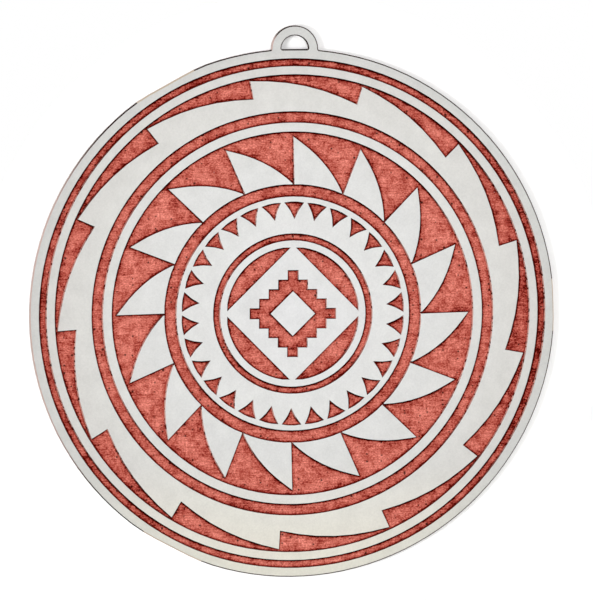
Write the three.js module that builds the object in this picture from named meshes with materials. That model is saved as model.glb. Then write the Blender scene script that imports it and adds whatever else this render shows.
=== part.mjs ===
import * as THREE from "three";

// A flat hanging ornament of etched sheet metal. Raised silver lands stand on a copper plate.
// Millimetres, +Z up, the front towards -Y. The origin is the top of the inside of the hanging eye,
// midway between front and back.

// Thicknesses, from the back of the plate to the front.
const backSkin = 0.15;
const coreThickness = 0.65;
const landHeight = 0.3;

// Radial widths from the centre outwards, measured where the lands meet the copper floor.
// They add up to the radius of the plate, 38.1 mm.
const medallionRadius = 10.7;
const medallionRing = 1.22;
const medallionChannel = 0.73;
const sunburstBand = 2.35;
const windowDepth = 2.24;
const sunburstLine = 1.01;
const rayChannel = 1.5;
const rayLength = 7.1;
const rayTipGap = 0.49;
const innerLineWidth = 1.55;
const toothChannel = 1.36;
const toothBand = 2.5;
const toothHeight = 2.67;
const toothTipGap = 0.15;
const outerLineWidth = 1.44;
const rimChannel = 0.85;
const rimWidth = 1.46;

// Where the tabs that held the blank were filed off the edge of the disc. Angles run clockwise
// from 12 o'clock, and the reach is how far the hollow goes to each side, in degrees.
const filedSpots = [
  { angle: 88, depth: 0.1, reach: 7 },
  { angle: 207.5, depth: 0.24, reach: 10 },
  { angle: 331, depth: 0.3, reach: 10 },
];

// The hanging loop and its D-shaped eye. The loop is centred on the edge of the disc.
const eyeRadius = 1.95;
const eyeSink = 0.06;
const eyeCorner = 0.2;
const loopBand = 1.44;
const loopFillet = 0.18;

// The sun rays: how many, the copper left between two at the foot, the height of the blunt heel there,
// how many degrees the tip leans back and how far the back of a ray bows.
const rayCount = 16;
const rayGap = 0.08;
const rayHeel = 0.32;
const rayLean = 0.38;
const rayBow = 0.07;
const raySteps = 8;

// The teeth, with the clockwise angle of the first one from 12 o'clock.
const toothCount = 13;
const toothPhase = 16.66;
const toothBow = 0.14;
const toothSteps = 6;

// The windows of the sunburst ring, and the metal left between two at their outer ends. The phase is
// the clockwise angle of the first one, and the lean is how many degrees their points lean clockwise.
const windowCount = 30;
const windowPhase = 0.28;
const windowLean = 0.3;
const petalNeck = 0.73;
const windowBow = 0.5;
const windowSteps = 4;

// The medallion: a four-cornered field, a stepped window in it and a diamond in the middle.
const fieldCorner = 1;
const fieldFrame = 2.2;
const stepCount = 4;
const diamondMoat = 1.5;

// The most that a chord of a round edge falls short of the true circle.
const chordError = 0.012;

const satinSilver = { color: 0xdededa, roughness: 0.42, metalness: 1 };
const etchedCopper = { color: 0xc96f5c, roughness: 0.6, metalness: 1 };

// Radii that follow from the widths.
const sunburstInner = medallionRadius + medallionChannel;
const windowRoot = sunburstInner + sunburstBand;
const windowOuter = windowRoot + windowDepth;
const sunburstOuter = windowOuter + sunburstLine;
const rayBase = sunburstOuter + rayChannel;
const rayTip = rayBase + rayLength;
const innerLineInner = rayTip + rayTipGap;
const innerLineOuter = innerLineInner + innerLineWidth;
const toothInner = innerLineOuter + toothChannel;
const toothRoot = toothInner + toothBand;
const toothTip = toothRoot + toothHeight;
const outerLineInner = toothTip + toothTipGap;
const outerLineOuter = outerLineInner + outerLineWidth;
const rimInner = outerLineOuter + rimChannel;
const plateRadius = rimInner + rimWidth;
const loopRadius = eyeRadius + loopBand;

// Planes that follow from the thicknesses, on the Y axis.
const backPlane = (backSkin + coreThickness + landHeight) / 2;
const corePlane = backPlane - backSkin;
const floorPlane = corePlane - coreThickness;
const facePlane = floorPlane - landHeight;

// The centres of the loop and of the disc, as x and z.
const loopCentre = new THREE.Vector2(0, -eyeRadius);
const discCentre = new THREE.Vector2(0, -eyeRadius - plateRadius);

// A point at a radius from a centre. Angles run clockwise from 12 o'clock, in degrees.
function around(centre, radius, angle) {
  const turn = THREE.MathUtils.degToRad(angle);
  return new THREE.Vector2(centre.x + radius * Math.sin(turn), centre.y + radius * Math.cos(turn));
}

function clockwiseAngle(x, z) {
  return THREE.MathUtils.radToDeg(Math.atan2(x, z));
}

// An arc of an outline. It leaves out its last point, which is the first of what follows it.
function arc(centre, radius, from, to) {
  const largestStep = 2 * THREE.MathUtils.radToDeg(Math.acos(1 - chordError / Math.max(radius, 1)));
  const steps = Math.ceil(Math.abs(to - from) / largestStep);
  const points = [];
  for (let i = 0; i < steps; i += 1) {
    points.push(around(centre, radius, from + ((to - from) * i) / steps));
  }
  return points;
}

function circle(radius) {
  return arc(discCentre, radius, 0, 360);
}

// A length along the circle of a radius, as an angle in degrees.
function angleOf(length, radius) {
  return THREE.MathUtils.radToDeg(length / radius);
}

// Goes from 0 to 1 as a share does, and lags behind it by more the larger the bow is.
function bowed(share, bow) {
  return (1 - bow) * share + bow * share * share;
}

// How deep the edge of the disc is filed at an angle.
function filedDepth(angle) {
  return filedSpots.reduce((depth, spot) => {
    const away = Math.min(Math.abs(angle - spot.angle) / spot.reach, 1);
    return depth + (spot.depth * (1 + Math.cos(Math.PI * away))) / 2;
  }, 0);
}

// The edge of the disc between two angles, with its shallow filed hollows.
function discEdge(from, to) {
  return arc(discCentre, plateRadius, from, to).map((point) => {
    const arm = point.clone().sub(discCentre);
    const angle = (clockwiseAngle(arm.x, arm.y) + 360) % 360;
    return arm.setLength(plateRadius - filedDepth(angle)).add(discCentre);
  });
}

// The outer edge of the sheet: the disc, the loop and a fillet on each side where they meet.
function sheetOutline() {
  const reach = plateRadius + loopFillet;
  const loopReach = loopRadius + loopFillet;
  const rise = (reach ** 2 - loopReach ** 2 + plateRadius ** 2) / (2 * plateRadius);
  const aside = Math.sqrt(reach ** 2 - rise ** 2);
  const discTurn = clockwiseAngle(aside, rise);
  const loopTurn = clockwiseAngle(aside, rise - plateRadius);
  const leftFillet = new THREE.Vector2(-aside, discCentre.y + rise);
  const rightFillet = new THREE.Vector2(aside, discCentre.y + rise);
  return [
    ...discEdge(discTurn, 360 - discTurn),
    ...arc(leftFillet, loopFillet, 180 - discTurn, 180 - loopTurn),
    ...arc(loopCentre, loopRadius, -loopTurn, loopTurn),
    ...arc(rightFillet, loopFillet, loopTurn - 180, discTurn - 180),
  ];
}

// The D-shaped eye: an arc over a flat bottom, with two rounded corners.
function eyeOutline() {
  const cornerRise = eyeCorner - eyeSink;
  const cornerAside = Math.sqrt((eyeRadius - eyeCorner) ** 2 - cornerRise ** 2);
  const turn = clockwiseAngle(cornerAside, cornerRise);
  const rightCorner = new THREE.Vector2(cornerAside, loopCentre.y + cornerRise);
  const leftCorner = new THREE.Vector2(-cornerAside, loopCentre.y + cornerRise);
  return [
    ...arc(loopCentre, eyeRadius, -turn, turn),
    ...arc(rightCorner, eyeCorner, turn, 180),
    ...arc(leftCorner, eyeCorner, 180, 360 - turn),
  ];
}

// The toothed edge: a radial face up to each tip, then a bowed slope down to the next root.
function toothedOutline() {
  const pitch = 360 / toothCount;
  const points = [];
  for (let tooth = 0; tooth < toothCount; tooth += 1) {
    const start = toothPhase + tooth * pitch;
    points.push(around(discCentre, toothRoot, start));
    for (let i = 0; i < toothSteps; i += 1) {
      const share = i / toothSteps;
      const radius = toothTip - toothHeight * bowed(share, toothBow);
      points.push(around(discCentre, radius, start + share * pitch));
    }
  }
  return points;
}

// One sun ray: a straight edge up to the tip, a bowed back down to the heel and a base that follows
// the channel.
function rayOutline(start) {
  const tip = start - rayLean;
  const heel = start + 360 / rayCount - angleOf(rayGap, rayBase);
  const points = [around(discCentre, rayBase, start)];
  for (let i = 0; i <= raySteps; i += 1) {
    const share = i / raySteps;
    const radius = rayTip - (rayLength - rayHeel) * bowed(share, rayBow);
    points.push(around(discCentre, radius, tip + share * (heel - tip)));
  }
  points.push(...arc(discCentre, rayBase, heel, start));
  return points;
}

// One window between two petals: it opens out from its point to the line round the sunburst.
function windowOutline(middle) {
  const halfSpan = (360 / windowCount - angleOf(petalNeck, windowOuter)) / 2;
  const rightSide = [];
  const leftSide = [];
  for (let i = 1; i < windowSteps; i += 1) {
    const share = i / windowSteps;
    const radius = windowRoot + windowDepth * share;
    const axis = middle + windowLean * (1 - share);
    const half = halfSpan * bowed(share, windowBow);
    rightSide.unshift(around(discCentre, radius, axis + half));
    leftSide.push(around(discCentre, radius, axis - half));
  }
  return [
    around(discCentre, windowRoot, middle + windowLean),
    ...leftSide,
    ...arc(discCentre, windowOuter, middle - halfSpan, middle + halfSpan),
    around(discCentre, windowOuter, middle + halfSpan),
    ...rightSide,
  ];
}

// Sizes of the medallion's field that its windows and its diamond share.
const fieldRadius = medallionRadius - medallionRing;
const lensHalfSpan = 45 - angleOf(fieldCorner, fieldRadius) / 2;
const fieldReach = fieldRadius * Math.cos(THREE.MathUtils.degToRad(lensHalfSpan));
const stepSize = ((fieldReach - fieldFrame) * Math.SQRT2) / (stepCount + 1);
const diamondHalf = stepCount * stepSize - diamondMoat * Math.SQRT2;

// One of the four windows between the field's straight sides and the medallion's ring.
function lensOutline(middle) {
  return [
    ...arc(discCentre, fieldRadius, middle - lensHalfSpan, middle + lensHalfSpan),
    around(discCentre, fieldRadius, middle + lensHalfSpan),
  ];
}

// The stepped window: a diamond whose four sides are flights of equal steps.
function steppedOutline() {
  const flight = [];
  for (let i = 0; i <= stepCount; i += 1) {
    const tread = new THREE.Vector2((i + 0.5) * stepSize, (stepCount + 0.5 - i) * stepSize);
    flight.push(tread);
    if (i < stepCount) {
      flight.push(new THREE.Vector2(tread.x, tread.y - stepSize));
    }
  }
  const points = [];
  for (let quarter = 0; quarter < 4; quarter += 1) {
    const turn = (-quarter * Math.PI) / 2;
    points.push(...flight.map((point) => point.clone().rotateAround(new THREE.Vector2(), turn)));
  }
  return points.map((point) => point.add(discCentre));
}

function diamondOutline() {
  return [0, 90, 180, 270].map((angle) => around(discCentre, diamondHalf, angle));
}

// Gives an outline and its windows a thickness, from a back plane to a front plane nearer -Y.
// All outlines are drawn clockwise, and a hole in a shape has to run the other way round.
function sheetPiece(name, finish, back, front, outline, windows = []) {
  const shape = new THREE.Shape(outline);
  shape.holes = windows.map((window) => new THREE.Path([...window].reverse()));
  const geometry = new THREE.ExtrudeGeometry(shape, { depth: 1, bevelEnabled: false });
  const position = geometry.getAttribute("position");
  for (let i = 0; i < position.count; i += 1) {
    const plane = position.getZ(i) > 0.5 ? front : back;
    position.setXYZ(i, position.getX(i), plane, position.getY(i));
  }
  geometry.computeVertexNormals();
  const mesh = new THREE.Mesh(geometry, new THREE.MeshStandardMaterial(finish));
  mesh.name = name;
  return mesh;
}

function land(name, outline, windows) {
  return sheetPiece(name, satinSilver, floorPlane, facePlane, outline, windows);
}

// Evenly spaced angles for a pattern that repeats round the disc.
function spread(count) {
  return Array.from({ length: count }, (unused, i) => (i * 360) / count);
}

const ornament = new THREE.Group();
ornament.add(sheetPiece("copper_plate", etchedCopper, corePlane, floorPlane, sheetOutline(), [eyeOutline()]));
ornament.add(sheetPiece("back_face", satinSilver, backPlane, corePlane, sheetOutline(), [eyeOutline()]));
ornament.add(land("rim_band", sheetOutline(), [eyeOutline(), circle(rimInner)]));
ornament.add(land("outer_line_ring", circle(outerLineOuter), [circle(outerLineInner)]));
ornament.add(land("sawtooth_band", toothedOutline(), [circle(toothInner)]));
ornament.add(land("inner_line_ring", circle(innerLineOuter), [circle(innerLineInner)]));
spread(rayCount).forEach((start, i) => {
  ornament.add(land(`sun_ray_${String(i + 1).padStart(2, "0")}`, rayOutline(start)));
});
ornament.add(land("sunburst_ring", circle(sunburstOuter), [
  circle(sunburstInner),
  ...spread(windowCount).map((middle) => windowOutline(middle + windowPhase)),
]));
ornament.add(land("medallion", circle(medallionRadius), [
  steppedOutline(),
  ...[45, 135, 225, 315].map((middle) => lensOutline(middle)),
]));
ornament.add(land("centre_diamond", diamondOutline()));

export default ornament;
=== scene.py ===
import math
import random

import bpy
from mathutils import Matrix, Vector, noise
from mathutils.bvhtree import BVHTree
from mathutils.geometry import delaunay_2d_cdt
from mathutils.kdtree import KDTree


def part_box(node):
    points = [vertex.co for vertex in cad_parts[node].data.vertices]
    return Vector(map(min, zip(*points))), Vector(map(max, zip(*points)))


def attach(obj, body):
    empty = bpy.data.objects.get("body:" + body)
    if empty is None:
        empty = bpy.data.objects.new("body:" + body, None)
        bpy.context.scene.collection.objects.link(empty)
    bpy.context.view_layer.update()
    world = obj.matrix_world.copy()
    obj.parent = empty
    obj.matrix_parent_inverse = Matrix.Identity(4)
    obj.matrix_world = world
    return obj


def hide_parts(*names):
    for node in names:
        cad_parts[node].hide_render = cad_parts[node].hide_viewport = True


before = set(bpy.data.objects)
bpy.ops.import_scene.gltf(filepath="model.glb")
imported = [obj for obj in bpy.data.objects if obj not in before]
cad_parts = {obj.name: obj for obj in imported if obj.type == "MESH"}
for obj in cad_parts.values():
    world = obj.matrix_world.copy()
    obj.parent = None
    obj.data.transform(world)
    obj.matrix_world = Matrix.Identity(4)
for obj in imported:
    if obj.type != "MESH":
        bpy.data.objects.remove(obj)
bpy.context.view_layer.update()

# A flat hanging ornament: a copper sheet, silver plated and then etched, seen nearly face on.
# Metres, Z up, the front towards -Y. The origin is the top of the inside of the hanging eye.

mm = 0.001
hair = 0.001 * mm  # points nearer than this are one point
landNodes = sorted(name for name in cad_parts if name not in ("copper_plate", "back_face"))
plateLow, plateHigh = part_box("copper_plate")
floorY = plateLow.y
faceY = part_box("medallion")[0].y
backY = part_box("back_face")[1].y
ringLow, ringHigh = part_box("outer_line_ring")
discCentre = Vector((0, 0, (ringLow.z + ringHigh.z) / 2))
discRadius = (plateHigh.x - plateLow.x) / 2
eyeMiddle = Vector((0, 0, -1.95 * mm))  # the eye is half a circle about this point, and its sides
eyeReach = 2.6 * mm                     # lie nearer to it than this
print("frame loaded with", len(landNodes), "lands")


# The camera: the photograph is taken from a little to the left of the middle and a little above it.
lookout = {
    "azimuth": -8.26,
    "elevation": 5.15,
    "roll": 0.43,
    "distance": 1.608,
    "lens": 670.9,
    "sensor": 36,
    "aimAside": 0.60 * mm,  # away from the disc's centre, so that it lands where the photograph has it
    "aimUp": 1.905 * mm,
}


def makeCamera():
    azimuth, elevation, roll = (math.radians(lookout[k]) for k in ("azimuth", "elevation", "roll"))
    towards = Vector((
        math.sin(azimuth) * math.cos(elevation),
        -math.cos(azimuth) * math.cos(elevation),
        math.sin(elevation),
    ))
    level = Vector((math.cos(azimuth), math.sin(azimuth), 0))
    upright = towards.cross(level)
    right = level * math.cos(roll) + upright * math.sin(roll)
    up = upright * math.cos(roll) - level * math.sin(roll)
    place = discCentre + towards * lookout["distance"]
    aim = discCentre + right * lookout["aimAside"] + up * lookout["aimUp"]
    backward = (place - aim).normalized()
    right = up.cross(backward).normalized()
    up = backward.cross(right)
    data = bpy.data.cameras.new("camera")
    data.lens = lookout["lens"]
    data.sensor_width = lookout["sensor"]
    camera = bpy.data.objects.new("camera", data)
    bpy.context.scene.collection.objects.link(camera)
    turn = Matrix((right, up, backward)).transposed().to_4x4()
    camera.matrix_world = Matrix.Translation(place) @ turn
    bpy.context.scene.camera = camera


makeCamera()
print("camera placed")


# Materials. Colours are sRGB hex, and the sizes of patterns are given in millimetres.
def linear(hexColour):
    channels = [int(hexColour[i:i + 2], 16) / 255 for i in (1, 3, 5)]
    return tuple(c / 12.92 if c <= 0.04045 else ((c + 0.055) / 1.055) ** 2.4 for c in channels) + (1.0,)


def perMetre(sizeInMm):
    return 1 / (sizeInMm * mm)


def addNode(tree, kind, settings=None, inputs=None, stops=None):
    node = tree.nodes.new(kind)
    for name, value in (settings or {}).items():
        setattr(node, name, value)
    for name, value in (inputs or {}).items():
        if isinstance(value, bpy.types.NodeSocket):
            tree.links.new(value, node.inputs[name])
        else:
            node.inputs[name].default_value = value
    if stops:
        elements = node.color_ramp.elements
        while len(elements) < len(stops):
            elements.new(0.5)
        for element, (position, colour) in zip(elements, stops):
            element.position = position
            element.color = linear(colour)
    return node


def newMaterial(name):
    material = bpy.data.materials.new(name)
    material.use_nodes = True
    material.node_tree.nodes.clear()
    return material, material.node_tree


def placeOnDisc(tree):
    # the place itself, its distance from the disc's centre, and how far it lies to the right of the
    # centre, behind it and above it
    place = addNode(tree, "ShaderNodeTexCoord").outputs["Object"]
    arm = addNode(tree, "ShaderNodeVectorMath", {"operation": "SUBTRACT"}, {0: place, 1: discCentre})
    reach = addNode(tree, "ShaderNodeVectorMath", {"operation": "LENGTH"}, {0: arm.outputs[0]})
    parts = addNode(tree, "ShaderNodeSeparateXYZ", inputs={0: arm.outputs[0]})
    return place, reach.outputs["Value"], parts.outputs


# Silver plate on copper, left satin where the resist kept the acid off.
# It looks pale and even, faintly clouded. It is painted darker and warmer towards the rim, which is painted
# shade, and painted brighter and creamier at the bottom of the front, which is painted light.
silver = {
    "roughness": 0.42,
    # the tooth of the satin finish, and the clouds in the plating
    "grain": {"Scale": perMetre(0.22), "Detail": 2.0, "Roughness": 0.6},
    "cloud": {"Scale": perMetre(2.5), "Detail": 3.0, "Roughness": 0.6},
    "drift": {"From Min": 0.6, "From Max": 1.4, "To Min": 0.92, "To Max": 1.08},
    "tooth": {"Strength": 0.25, "Distance": 0.004 * mm},
    # painted light: the heights above the disc's centre at which the brighter cream tint begins and is full
    "paintedLightHeights": {"From Min": -22 * mm, "From Max": -37.3 * mm},
    "cream": (1.19, 1.165, 1.06, 1),
    # painted shade: the tone darkens and warms from the centre out to the rim
    "tones": [
        (0.0, "#dcdcdd"), (0.38, "#dadad9"), (0.55, "#d7d7d6"), (0.8, "#d3d2cf"), (0.93, "#cfcdca"),
        (1.0, "#c8c8c6"),
    ],
}


def silverPlate():
    material, tree = newMaterial("satin silver plate")
    place, reach, parts = placeOnDisc(tree)
    # painted shade: darker towards the rim, by the share of the way out
    share = addNode(tree, "ShaderNodeMath", {"operation": "DIVIDE"}, {0: reach, 1: discRadius})
    rimShadedTone = addNode(tree, "ShaderNodeValToRGB", inputs={"Fac": share.outputs[0]}, stops=silver["tones"])
    # painted light: the front grows brighter and creamier towards the bottom
    lower = addNode(tree, "ShaderNodeMapRange", inputs={"Value": parts["Z"], **silver["paintedLightHeights"]})
    front = addNode(tree, "ShaderNodeMath", {"operation": "LESS_THAN"}, {0: parts["Y"], 1: 0.0})
    paintedLightShare = addNode(tree, "ShaderNodeMath", {"operation": "MULTIPLY"}, {
        0: lower.outputs["Result"], 1: front.outputs[0],
    })
    tone = addNode(tree, "ShaderNodeMix", {"data_type": "RGBA", "blend_type": "MULTIPLY"}, {
        0: paintedLightShare.outputs[0], 6: rimShadedTone.outputs["Color"], 7: silver["cream"],
    })
    grain = addNode(tree, "ShaderNodeTexNoise", inputs={"Vector": place, **silver["grain"]})
    cloud = addNode(tree, "ShaderNodeTexNoise", inputs={"Vector": place, **silver["cloud"]})
    both = addNode(tree, "ShaderNodeMath", {"operation": "ADD"}, {
        0: grain.outputs["Fac"], 1: cloud.outputs["Fac"],
    })
    drift = addNode(tree, "ShaderNodeMapRange", inputs={"Value": both.outputs[0], **silver["drift"]})
    colour = addNode(tree, "ShaderNodeVectorMath", {"operation": "SCALE"}, {
        0: tone.outputs[2], "Scale": drift.outputs["Result"],
    })
    bump = addNode(tree, "ShaderNodeBump", inputs={"Height": grain.outputs["Fac"], **silver["tooth"]})
    shader = addNode(tree, "ShaderNodeBsdfPrincipled", inputs={
        "Base Color": colour.outputs[0], "Metallic": 1.0, "Roughness": silver["roughness"],
        "Normal": bump.outputs["Normal"],
    })
    addNode(tree, "ShaderNodeOutputMaterial", inputs={"Surface": shader.outputs[0]})
    return material


# Copper eaten back by acid: a matt, mottled brick red, darkened in the corners at the lands by painted
# shade.
# Its patterns add up to one tone, which picks the colour.
etched = {
    "roughness": 0.6,
    # the crystals that the acid opens up, patches where it bit deeper, and marks that rolling left;
    # the first and the last are flattened, so that they lie along the sheet
    "grain": {"Scale": perMetre(0.27), "Detail": 2.0, "Roughness": 0.65},
    "blotch": {"Scale": perMetre(1.5), "Detail": 4.0, "Roughness": 0.6, "Distortion": 0.6},
    "streak": {"Scale": perMetre(2.0), "Detail": 2.0},
    "grainFlattened": (1.0, 1.0, 1.4),
    "streakFlattened": (1.0, 1.0, 9.0),
    "swings": {"grain": 1.25, "blotch": 1.25, "streak": 0.6},  # what each does to the tone
    "stain": {"From Min": 0.6, "From Max": 0.72, "To Min": 0.0, "To Max": -0.22},  # in the deepest patches
    # the tone by the distance from the nearest land, in mm: painted shade, dark in the corner, paler out in
    # the open
    "corner": {"From Min": 0.0, "From Max": 0.21, "To Max": 0.0},
    "cornerTone": -0.4,
    "opening": {"From Min": 0.1, "From Max": 0.9, "To Min": 0.46, "To Max": 0.575},
    # the tone goes darker outwards and to the right, and lighter towards the bottom, which is painted
    # light, between these distances from the disc's centre
    "outwards": {"From Min": 30 * mm, "From Max": 36 * mm, "To Min": 0.0, "To Max": -0.08},
    "rightwards": {"From Min": 28 * mm, "From Max": 36 * mm, "To Min": 0.0, "To Max": -0.14},
    "downwards": {"From Min": -28 * mm, "From Max": -36 * mm, "To Min": 0.0, "To Max": 0.18},
    "tones": [
        (0.0, "#440502"), (0.09, "#5c0c06"), (0.17, "#7c2018"), (0.37, "#ad4c41"), (0.5, "#be6355"),
        (0.63, "#cf7668"), (0.83, "#e58e7f"), (1.0, "#f8a899"),
    ],
    # dots of black residue in the deeper pits: one in a cell at most, its radius drawn as a share of
    # the cell, less than nothing in many, and greater near a land
    "dotCell": perMetre(1.1),
    "dotRadius": {"From Min": 0.4, "From Max": 1.0, "To Min": -0.05, "To Max": 0.15},
    "dotGrowth": {"From Min": 0.1, "From Max": 0.6, "To Min": 0.05, "To Max": 0.0},
    "dotEdge": {"From Min": -0.03, "From Max": 0.07, "To Min": 0.0, "To Max": 0.85},
    "residue": "#1c0503",
    "speck": {"Scale": perMetre(0.3), "Detail": 1.0},  # painted glints: pale specks where crystals catch the light
    "glint": {"From Min": 0.27, "From Max": 0.2, "To Min": 0.0, "To Max": 0.7},
    "paintedGlint": "#eeb0a4",
    "tooth": {"Strength": 0.6, "Distance": 0.02 * mm},
}


def floorTone(tree, place, reach, parts, gap):
    # the tone of the floor, and its grain, which also gives the bump
    lying = addNode(tree, "ShaderNodeVectorMath", {"operation": "MULTIPLY"}, {
        0: place, 1: etched["grainFlattened"],
    })
    along = addNode(tree, "ShaderNodeVectorMath", {"operation": "MULTIPLY"}, {
        0: place, 1: etched["streakFlattened"],
    })
    patterns = {
        name: addNode(tree, "ShaderNodeTexNoise", inputs={"Vector": vector, **etched[name]}).outputs["Fac"]
        for name, vector in (("grain", lying.outputs[0]), ("blotch", place), ("streak", along.outputs[0]))
    }
    # painted shade in the corners at the lands, deeper or lighter by the way that the nearest side faces
    shade = addNode(tree, "ShaderNodeAttribute", {"attribute_name": "cornerShade"}).outputs["Fac"]
    cornerShadeDepth = addNode(tree, "ShaderNodeMath", {"operation": "MULTIPLY"}, {0: shade, 1: etched["cornerTone"]})
    terms = [addNode(tree, "ShaderNodeMapRange", inputs={
        "Value": gap, "To Min": cornerShadeDepth.outputs[0], **etched["corner"],
    })]
    for value, name in (
        (gap, "opening"), (patterns["blotch"], "stain"),
        (reach, "outwards"), (parts["X"], "rightwards"), (parts["Z"], "downwards"),
    ):
        terms.append(addNode(tree, "ShaderNodeMapRange", inputs={"Value": value, **etched[name]}))
    for name, swing in etched["swings"].items():
        terms.append(addNode(tree, "ShaderNodeMath", {"operation": "MULTIPLY_ADD"}, {
            0: patterns[name], 1: swing, 2: -swing / 2,
        }))
    tone = terms[0].outputs[0]
    for term in terms[1:]:
        added = addNode(tree, "ShaderNodeMath", {"operation": "ADD"}, {0: tone, 1: term.outputs[0]})
        tone = added.outputs[0]
    return tone, patterns["grain"]


def floorDots(tree, parts, gap):
    # how much of the colour is hidden by black dots
    level = addNode(tree, "ShaderNodeCombineXYZ", inputs={0: parts["X"], 1: parts["Z"]})
    cells = addNode(tree, "ShaderNodeTexVoronoi", {"voronoi_dimensions": "2D"}, {
        "Vector": level.outputs[0], "Scale": etched["dotCell"],
    })
    chance = addNode(tree, "ShaderNodeSeparateColor", inputs={0: cells.outputs["Color"]})
    radius = addNode(tree, "ShaderNodeMapRange", inputs={"Value": chance.outputs[0], **etched["dotRadius"]})
    growth = addNode(tree, "ShaderNodeMapRange", inputs={"Value": gap, **etched["dotGrowth"]})
    grown = addNode(tree, "ShaderNodeMath", {"operation": "ADD"}, {
        0: radius.outputs["Result"], 1: growth.outputs["Result"],
    })
    within = addNode(tree, "ShaderNodeMath", {"operation": "SUBTRACT"}, {
        0: grown.outputs[0], 1: cells.outputs["Distance"],
    })
    mask = addNode(tree, "ShaderNodeMapRange", inputs={"Value": within.outputs[0], **etched["dotEdge"]})
    return mask.outputs["Result"]


def etchedFloor():
    material, tree = newMaterial("acid etched copper")
    place, reach, parts = placeOnDisc(tree)
    gap = addNode(tree, "ShaderNodeAttribute", {"attribute_name": "edgeDistance"}).outputs["Fac"]
    tone, grain = floorTone(tree, place, reach, parts, gap)
    colour = addNode(tree, "ShaderNodeValToRGB", inputs={"Fac": tone}, stops=etched["tones"])
    dotted = addNode(tree, "ShaderNodeMix", {"data_type": "RGBA"}, {
        0: floorDots(tree, parts, gap), 6: colour.outputs["Color"], 7: linear(etched["residue"]),
    })
    # painted highlight: pale pink glints mixed into the colour
    specks = addNode(tree, "ShaderNodeTexNoise", inputs={"Vector": place, **etched["speck"]})
    glints = addNode(tree, "ShaderNodeMapRange", inputs={"Value": specks.outputs["Fac"], **etched["glint"]})
    glinting = addNode(tree, "ShaderNodeMix", {"data_type": "RGBA"}, {
        0: glints.outputs["Result"], 6: dotted.outputs[2], 7: linear(etched["paintedGlint"]),
    })
    bump = addNode(tree, "ShaderNodeBump", inputs={"Height": grain, **etched["tooth"]})
    shader = addNode(tree, "ShaderNodeBsdfPrincipled", inputs={
        "Base Color": glinting.outputs[2], "Metallic": 1.0, "Roughness": etched["roughness"],
        "Normal": bump.outputs["Normal"],
    })
    addNode(tree, "ShaderNodeOutputMaterial", inputs={"Surface": shader.outputs[0]})
    return material


# The slopes and sides of the lands, undercut by the acid: dark with residue and painted shade, most of all
# where they face down, and painted light, pale pink copper, where they face left. In the eye no light is
# painted.
side = {
    "roughness": 0.7,
    "residueLitAbove": "#701e17",
    "residueShadedBelow": "#220000",
    "down": {"From Min": -0.3, "From Max": 0.8},   # how far down a side faces, as a cosine
    "litPink": "#e8c0b6",
    "left": {"From Min": 0.72, "From Max": 0.96},  # how far left it faces
    "outerFrom": 37.8 * mm,   # beyond this distance from the disc's centre, a side is on the outer edge: its dark is residue and painted shade and where it faces left it is painted light, pale bare metal
    "outerResidueShade": "#2a0a05",   # its residue is worn thin
    "outerLitBare": "#d8c0ba",  # and where it faces left it is rubbed bare
    # black beads stay on the inner sides that face left
    "bead": {"Scale": perMetre(0.5), "Detail": 1.0},
    "beadEdge": {"From Min": 0.38, "From Max": 0.46},
}


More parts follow.
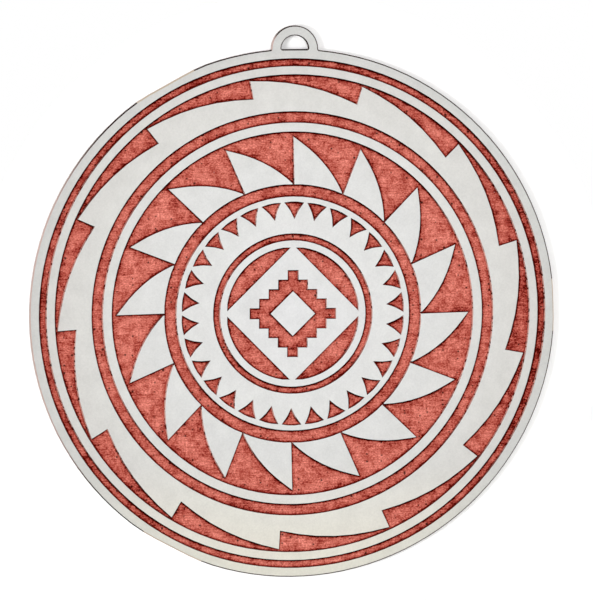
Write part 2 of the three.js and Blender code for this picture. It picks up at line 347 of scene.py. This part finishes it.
def etchedSide():
    material, tree = newMaterial("etched copper side")
    place, reach, _ = placeOnDisc(tree)
    normal = addNode(tree, "ShaderNodeNewGeometry").outputs["Normal"]
    flat = addNode(tree, "ShaderNodeVectorMath", {"operation": "MULTIPLY"}, {0: normal, 1: (1.0, 0.0, 1.0)})
    facing = addNode(tree, "ShaderNodeVectorMath", {"operation": "NORMALIZE"}, {0: flat.outputs[0]})
    leftward = addNode(tree, "ShaderNodeVectorMath", {"operation": "DOT_PRODUCT"}, {
        0: facing.outputs[0], 1: (-1.0, 0.0, 0.0),
    })
    downward = addNode(tree, "ShaderNodeVectorMath", {"operation": "DOT_PRODUCT"}, {
        0: facing.outputs[0], 1: (0.0, 0.0, -1.0),
    })
    # painted shade: the more a side faces down, the darker its residue colour
    residue = addNode(tree, "ShaderNodeMapRange", inputs={
        "Value": downward.outputs["Value"], **side["down"],
    })
    residueAndShade = addNode(tree, "ShaderNodeMix", {"data_type": "RGBA"}, {
        0: residue.outputs["Result"], 6: linear(side["residueLitAbove"]), 7: linear(side["residueShadedBelow"]),
    })
    outermost = addNode(tree, "ShaderNodeMath", {"operation": "GREATER_THAN"}, {
        0: reach, 1: side["outerFrom"],
    })
    dark = addNode(tree, "ShaderNodeMix", {"data_type": "RGBA"}, {
        0: outermost.outputs[0], 6: residueAndShade.outputs[2], 7: linear(side["outerResidueShade"]),
    })
    litColour = addNode(tree, "ShaderNodeMix", {"data_type": "RGBA"}, {
        0: outermost.outputs[0], 6: linear(side["litPink"]), 7: linear(side["outerLitBare"]),
    })
    # painted light: sides that face left turn pale pink
    litPink = addNode(tree, "ShaderNodeMapRange", {"interpolation_type": "SMOOTHSTEP"}, {
        "Value": leftward.outputs["Value"], **side["left"],
    })
    beads = addNode(tree, "ShaderNodeTexNoise", inputs={"Vector": place, **side["bead"]})
    clear = addNode(tree, "ShaderNodeMapRange", inputs={"Value": beads.outputs["Fac"], **side["beadEdge"]})
    unbeaded = addNode(tree, "ShaderNodeMath", {"operation": "MAXIMUM"}, {
        0: outermost.outputs[0], 1: clear.outputs["Result"],
    })
    # painted shade in the eye: no light is painted on its sides
    eyeGap = addNode(tree, "ShaderNodeVectorMath", {"operation": "DISTANCE"}, {0: place, 1: eyeMiddle})
    outsideEye = addNode(tree, "ShaderNodeMath", {"operation": "GREATER_THAN"}, {
        0: eyeGap.outputs["Value"], 1: eyeReach,
    })
    factor = addNode(tree, "ShaderNodeMath", {"operation": "MULTIPLY"}, {
        0: litPink.outputs["Result"], 1: unbeaded.outputs[0],
    })
    factor = addNode(tree, "ShaderNodeMath", {"operation": "MULTIPLY"}, {
        0: factor.outputs[0], 1: outsideEye.outputs[0],
    })
    colour = addNode(tree, "ShaderNodeMix", {"data_type": "RGBA"}, {
        0: factor.outputs[0], 6: dark.outputs[2], 7: litColour.outputs[2],
    })
    shader = addNode(tree, "ShaderNodeBsdfPrincipled", inputs={
        "Base Color": colour.outputs[2], "Metallic": 1.0, "Roughness": side["roughness"],
    })
    addNode(tree, "ShaderNodeOutputMaterial", inputs={"Surface": shader.outputs[0]})
    return material


# The outer edge of the sheet, cut and filed: bare metal with fine scratches. Where the blank's tabs
# were, the file also broke the edge of the front, which is duller.
filed = {
    "edge": "#ece4df",
    "corner": "#c4b29f",
    "roughness": 0.38,
    "scratch": {"Scale": perMetre(0.08), "Detail": 1.0},
    "tooth": {"Strength": 0.3, "Distance": 0.005 * mm},
}


def filedMetal(name, colour):
    material, tree = newMaterial(name)
    place = addNode(tree, "ShaderNodeTexCoord").outputs["Object"]
    scratches = addNode(tree, "ShaderNodeTexNoise", inputs={"Vector": place, **filed["scratch"]})
    bump = addNode(tree, "ShaderNodeBump", inputs={"Height": scratches.outputs["Fac"], **filed["tooth"]})
    shader = addNode(tree, "ShaderNodeBsdfPrincipled", inputs={
        "Base Color": linear(colour), "Metallic": 1.0, "Roughness": filed["roughness"],
        "Normal": bump.outputs["Normal"],
    })
    addNode(tree, "ShaderNodeOutputMaterial", inputs={"Surface": shader.outputs[0]})
    return material


silverMaterial = silverPlate()
floorMaterial = etchedFloor()
sideMaterial = etchedSide()
edgeMaterial = filedMetal("filed sheet edge", filed["edge"])
cornerMaterial = filedMetal("filed front corner", filed["corner"])
print("materials made")


# Modelling
def takeUp(piece):
    bpy.ops.object.select_all(action="DESELECT")
    piece.select_set(True)
    bpy.context.view_layer.objects.active = piece


def copyOfNode(node, name):
    piece = bpy.data.objects.new(name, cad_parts[node].data.copy())
    bpy.context.scene.collection.objects.link(piece)
    piece.data.materials.clear()
    takeUp(piece)
    if piece.data.has_custom_normals:
        bpy.ops.mesh.customdata_custom_splitnormals_clear()
    bpy.ops.object.mode_set(mode="EDIT")
    bpy.ops.mesh.select_mode(type="FACE")
    bpy.ops.mesh.select_all(action="SELECT")
    bpy.ops.mesh.remove_doubles(threshold=hair)
    bpy.ops.object.mode_set(mode="OBJECT")
    return piece


def surfaceOf(mesh):
    corners = [vertex.co.copy() for vertex in mesh.vertices]
    return corners, [list(polygon.vertices) for polygon in mesh.polygons]


def isFlatAt(piece, polygon, level):
    return all(abs(piece.data.vertices[i].co.y - level) < hair for i in polygon.vertices)


def selectFlat(piece, level):
    for polygon in piece.data.polygons:
        polygon.select = isFlatAt(piece, polygon, level)


def setBack(piece, level, edge):
    # draws the outline of a flat face in, which leaves a slope down to the side, and fills the face anew
    outward = math.copysign(edge["drop"], level)
    selectFlat(piece, level)
    bpy.ops.object.mode_set(mode="EDIT")
    bpy.ops.transform.translate(value=(0, -outward, 0))
    bpy.ops.mesh.inset(thickness=edge["inset"], use_even_offset=False)
    bpy.ops.transform.translate(value=(0, outward, 0))
    bpy.ops.mesh.delete(type="FACE")
    bpy.ops.mesh.select_mode(type="EDGE")
    bpy.ops.mesh.select_all(action="DESELECT")
    bpy.ops.mesh.select_non_manifold()
    bpy.ops.mesh.fill(use_beauty=True)
    bpy.ops.mesh.select_all(action="SELECT")
    bpy.ops.mesh.normals_make_consistent(inside=False)
    bpy.ops.mesh.select_mode(type="FACE")
    bpy.ops.object.mode_set(mode="OBJECT")


# The places on the disc's edge where the blank's tabs were filed off, clockwise from 12 o'clock.
filedSpots = [(88, 5), (207.5, 7), (331, 7)]  # angle and reach to each side, in degrees
filedDepth = 0.6 * mm  # the width of the strip along the edge in which the file worked
creaseAngle = math.radians(25)


def isFiled(point):
    arm = point - discCentre
    if math.hypot(arm.x, arm.z) < discRadius - filedDepth:
        return False
    angle = math.degrees(math.atan2(arm.x, arm.z)) % 360
    return any(abs(angle - spot) < reach for spot, reach in filedSpots)


def dress(piece, level):
    # silver on the flat face, residue with painted light and shade on the slopes and sides, duller bare
    # metal where it was filed
    for material in (silverMaterial, sideMaterial, cornerMaterial):
        piece.data.materials.append(material)
    for polygon in piece.data.polygons:
        if isFlatAt(piece, polygon, level):
            polygon.material_index = 0
        else:
            polygon.material_index = 2 if isFiled(polygon.center) else 1
    takeUp(piece)
    bpy.ops.object.shade_smooth_by_angle(angle=creaseAngle)


def footEdges(piece):
    # the edges at which a piece's upright sides meet the etched floor, as x and z in millimetres,
    # each with the way that its side faces
    points = piece.data.vertices
    feet = []
    for polygon in piece.data.polygons:
        isUpright = abs(polygon.normal.y) <= 0.5
        if not isUpright:
            continue
        for pair in polygon.edge_keys:
            if all(abs(points[i].co.y - floorY) < hair for i in pair):
                a, b = ((round(points[i].co.x / mm, 5), round(points[i].co.z / mm, 5)) for i in pair)
                feet.append((a, b, (polygon.normal.x, polygon.normal.z)))
    return feet


# The raised lands: copies of the CAD solids whose faces are drawn in where the acid undercut them.
# The feet of their sides and the ground that they cover shape the floor further down.
landEdge = {"inset": 0.15 * mm, "drop": 0.2 * mm}
landFeet = []
coverPoints, coverFaces = [], []
for node in landNodes:
    land = copyOfNode(node, node + "_plated")
    landFeet += footEdges(land)
    corners, faces = surfaceOf(land.data)
    coverFaces += [[len(coverPoints) + i for i in face] for face in faces]
    coverPoints += corners
    setBack(land, faceY, landEdge)
    dress(land, faceY)
    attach(land, "root")
    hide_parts(node)
print("lands plated")


# The plate: the CAD solid with a front that is fine enough to hold the pitted floor.
# Lengths are in mm here.
floor = {
    "spacing": 0.175,     # between the points of the floor
    "rowPitch": 0.866,    # from one row of them to the next, as a share of that
    "scatter": 0.2,       # and how far a point strays
    "clear": 0.07,        # the least distance of a point from an edge
    "footStep": 0.04,     # the spacing at which the edges are sampled
    "filletWidth": 0.2,   # the floor curves up to the lands
    "filletRise": 0.05,
    "pit": 0.012,         # depth of the broad pits
    "pitSize": 0.9,
    "reach": 37,          # beyond this radius there is no bare floor
    "litLeftShare": 0.75,    # the share of the painted shade in a corner that is lightened below a side that faces left, and below one that faces up, towards the light, and the share by which the painted shade is darker below one that faces down
    "litUpShare": 0.3,       # that faces left, and below one that faces up
    "shadedDownShare": 0.3,      # and the share by which it is darker below one that faces down
    "creaseAngle": math.radians(40),
}


def distanceTree(feet):
    # finds the nearest point at the foot of a side, and gives the painted shade in the corner there
    samples, shades = [], []
    for (ax, az), (bx, bz), (sideways, upright) in feet:
        count = max(1, math.ceil(math.hypot(bx - ax, bz - az) / floor["footStep"]))
        samples += [(ax + (bx - ax) * i / count, az + (bz - az) * i / count) for i in range(count + 1)]
        # painted shade: lighter below sides that face left or up, towards the light, darker below those
        # that face down
        shade = 1 - floor["litLeftShare"] * max(0, -sideways) ** 4 - floor["litUpShare"] * max(0, upright) ** 2
        shade += floor["shadedDownShare"] * max(0, -upright) ** 2
        shades += [shade] * (count + 1)
    tree = KDTree(len(samples))
    for i, (x, z) in enumerate(samples):
        tree.insert((x, z, 0), i)
    tree.balance()
    return tree, shades


def isOver(surface, x, z):
    origin = Vector((x * mm, faceY - mm, z * mm))
    return surface.ray_cast(origin, Vector((0, 1, 0)))[0] is not None


def openFloorPoints(cover, edges):
    draw = random.Random(12)
    spacing, scatter = floor["spacing"], floor["scatter"]
    middle = discCentre.z / mm
    rows = int(floor["reach"] / (spacing * floor["rowPitch"]))
    columns = int(floor["reach"] / spacing) + 1
    points = []
    for row in range(-rows, rows + 1):
        for column in range(-columns, columns + 1):
            x = (column + row % 2 / 2 + draw.uniform(-scatter, scatter)) * spacing
            z = middle + (row + draw.uniform(-scatter, scatter)) * spacing * floor["rowPitch"]
            if math.hypot(x, z - middle) > floor["reach"] or isOver(cover, x, z):
                continue
            if edges.find((x, z, 0))[2] > floor["clear"]:
                points.append((x, z))
    return points


def floorRise(x, z, gap):
    # how far the floor stands above its lowest level
    rise = floor["filletRise"] * max(0, 1 - gap / floor["filletWidth"]) ** 2
    if gap > floor["clear"]:
        rise += floor["pit"] * (0.5 + 0.5 * noise.noise(Vector((x, z, 0)) / floor["pitSize"]))
    return rise


def makeFront(plate):
    outline = footEdges(plate)
    outlineKeys = {point for edge in outline for point in edge[:2]}
    sheet = BVHTree.FromPolygons(*surfaceOf(plate.data))
    cover = BVHTree.FromPolygons(coverPoints, coverFaces)
    feet = [edge for edge in landFeet if not (edge[0] in outlineKeys and edge[1] in outlineKeys)]
    edges, shades = distanceTree(feet)
    keys = {}
    for edge in outline + feet:
        for point in edge[:2]:
            keys.setdefault(point, len(keys))
    flatPoints = [Vector(point) for point in [*keys, *openFloorPoints(cover, edges)]]
    fixed = [(keys[a], keys[b]) for a, b, _ in outline + feet]
    points, _, faces, _, _, _ = delaunay_2d_cdt(flatPoints, fixed, [], 0, 1e-5)
    faces = [face for face in faces if isOver(sheet, *(sum((points[i] for i in face), Vector((0, 0))) / 3))]
    print("floor of", len(points), "points and", len(faces), "faces")
    vertices, distances, cornerShades = [], [], []
    for x, z in points:
        _, nearest, gap = edges.find((x, z, 0))
        onOutline = (round(x, 5), round(z, 5)) in outlineKeys
        rise = 0 if onOutline else floorRise(x, z, gap)
        vertices.append((x * mm, floorY - rise * mm, z * mm))
        distances.append(gap)
        cornerShades.append(shades[nearest])
    mesh = bpy.data.meshes.new("floor")
    mesh.from_pydata(vertices, [], faces)
    for name, values in (("edgeDistance", distances), ("cornerShade", cornerShades)):
        mesh.attributes.new(name, "FLOAT", "POINT").data.foreach_set("value", values)
    mesh.materials.append(floorMaterial)
    front = bpy.data.objects.new("floor", mesh)
    bpy.context.scene.collection.objects.link(front)
    return front


def makePlate():
    plate = copyOfNode("copper_plate", "etched_plate")
    front = makeFront(plate)
    for material in (floorMaterial, edgeMaterial, sideMaterial):
        plate.data.materials.append(material)
    for polygon in plate.data.polygons:
        # in the eye, the sides that don't face left take the dark side colours: residue and painted shade
        isInEye = (polygon.center - eyeMiddle).length < eyeReach
        isShadedInEye = isInEye and polygon.normal.x > -0.5
        polygon.material_index = 2 if isShadedInEye else 1
    takeUp(plate)
    selectFlat(plate, floorY)
    bpy.ops.object.mode_set(mode="EDIT")
    bpy.ops.mesh.delete(type="FACE")
    bpy.ops.object.mode_set(mode="OBJECT")
    front.select_set(True)
    bpy.ops.object.join()
    bpy.ops.object.mode_set(mode="EDIT")
    bpy.ops.mesh.select_all(action="SELECT")
    bpy.ops.mesh.remove_doubles(threshold=hair)
    bpy.ops.object.mode_set(mode="OBJECT")
    bpy.ops.object.shade_smooth_by_angle(angle=floor["creaseAngle"])
    return plate


plate = makePlate()
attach(plate, "root")
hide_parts("copper_plate")
print("plate etched")


# The plated back, plain and set back at its edge as the front is.
backEdge = {"inset": 0.12 * mm, "drop": 0.1 * mm}
back = copyOfNode("back_face", "plated_back")
setBack(back, backY, backEdge)
dress(back, backY)
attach(back, "root")
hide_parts("back_face")
print("back plated")


# The stage: a pale floor below, a white card close behind, and soft studio light from the left.
# The card lies where the photograph's background takes the shadow.
stage = {
    "floorDrop": 180 * mm,  # below the bottom of the disc
    "floorSize": 4.0,
    "floorColour": "#eeedea",
    "floorGlow": 1.5,       # what the camera sees mixed into the floor, which lights nothing
    "floorGlowShare": 0.5,
    "cardRadius": 46 * mm,
    "cardCorners": 96,
    "cardGap": 0.2 * mm,    # behind the ornament
    "cardColour": "#e8e8e8",
    "cardGlow": 0.21,
    "worldFill": 0.7,
}
lamps = [
    {"name": "keyLamp", "place": (-0.57, -0.57, -0.08), "size": 0.18, "power": 4.0, "glint": False},
    {"name": "fillLamp", "place": (0.3, -0.9, 0.5), "size": 0.9, "power": 3.1, "glint": True},
    {"name": "backLamp", "place": (0.5, 0.9, 0.5), "size": 0.9, "power": 3.0, "glint": True},
]
white = (1, 1, 1, 1)


def seenDirectly(tree):
    # 1 for what the camera, a mirror or glass looks at, and 0 for light that falls on things
    rays = addNode(tree, "ShaderNodeLightPath")
    either = addNode(tree, "ShaderNodeMath", {"operation": "MAXIMUM"}, {
        0: rays.outputs["Is Camera Ray"], 1: rays.outputs["Is Glossy Ray"],
    })
    return addNode(tree, "ShaderNodeMath", {"operation": "MAXIMUM"}, {
        0: either.outputs[0], 1: rays.outputs["Is Transmission Ray"],
    }).outputs[0]


def makeWorld():
    world = bpy.data.worlds.new("studio")
    bpy.context.scene.world = world
    world.use_nodes = True
    tree = world.node_tree
    tree.nodes.clear()
    strength = addNode(tree, "ShaderNodeMapRange", inputs={
        "Value": seenDirectly(tree), "To Min": stage["worldFill"], "To Max": 1.0,
    })
    glow = addNode(tree, "ShaderNodeBackground", inputs={
        "Color": white, "Strength": strength.outputs["Result"],
    })
    addNode(tree, "ShaderNodeOutputWorld", inputs={"Surface": glow.outputs[0]})


def makeFloor():
    bpy.ops.object.select_all(action="DESELECT")
    bottom = plateLow.z - stage["floorDrop"]
    bpy.ops.mesh.primitive_plane_add(size=stage["floorSize"], location=(0, 0, bottom))
    ground = bpy.context.object
    ground.name = "ground"
    material, tree = newMaterial("pale paper")
    matt = addNode(tree, "ShaderNodeBsdfDiffuse", inputs={"Color": linear(stage["floorColour"])})
    glow = addNode(tree, "ShaderNodeEmission", inputs={"Color": white, "Strength": stage["floorGlow"]})
    seen = addNode(tree, "ShaderNodeLightPath").outputs["Is Camera Ray"]
    share = addNode(tree, "ShaderNodeMath", {"operation": "MULTIPLY"}, {
        0: seen, 1: stage["floorGlowShare"],
    })
    both = addNode(tree, "ShaderNodeMixShader", inputs={
        0: share.outputs[0], 1: matt.outputs[0], 2: glow.outputs[0],
    })
    addNode(tree, "ShaderNodeOutputMaterial", inputs={"Surface": both.outputs[0]})
    ground.data.materials.append(material)


def makeCard():
    bpy.ops.object.select_all(action="DESELECT")
    bpy.ops.mesh.primitive_circle_add(
        vertices=stage["cardCorners"], radius=stage["cardRadius"], fill_type="NGON",
        location=(0, backY + stage["cardGap"], discCentre.z), rotation=(math.radians(90), 0, 0),
    )
    card = bpy.context.object
    card.name = "card"
    material, tree = newMaterial("white card")
    matt = addNode(tree, "ShaderNodeBsdfDiffuse", inputs={"Color": linear(stage["cardColour"])})
    glow = addNode(tree, "ShaderNodeEmission", inputs={"Color": white, "Strength": stage["cardGlow"]})
    front = addNode(tree, "ShaderNodeAddShader", inputs={0: matt.outputs[0], 1: glow.outputs[0]})
    clear = addNode(tree, "ShaderNodeBsdfTransparent")
    behind = addNode(tree, "ShaderNodeNewGeometry").outputs["Backfacing"]
    both = addNode(tree, "ShaderNodeMixShader", inputs={
        0: behind, 1: front.outputs[0], 2: clear.outputs[0],
    })
    addNode(tree, "ShaderNodeOutputMaterial", inputs={"Surface": both.outputs[0]})
    card.data.materials.append(material)
    card.visible_diffuse = False
    card.visible_glossy = False
    card.visible_transmission = False
    card.visible_shadow = False


def makeLamps():
    for lamp in lamps:
        data = bpy.data.lights.new(lamp["name"], "AREA")
        data.size = lamp["size"]
        data.energy = lamp["power"]
        lampObject = bpy.data.objects.new(lamp["name"], data)
        bpy.context.scene.collection.objects.link(lampObject)
        place = Vector(lamp["place"])
        lampObject.location = place
        lampObject.visible_glossy = lamp["glint"]
        lampObject.rotation_euler = (place - discCentre).to_track_quat("Z", "Y").to_euler()


makeWorld()
makeFloor()
makeCard()
makeLamps()
bpy.context.scene.view_settings.view_transform = "Standard"
print("stage set")
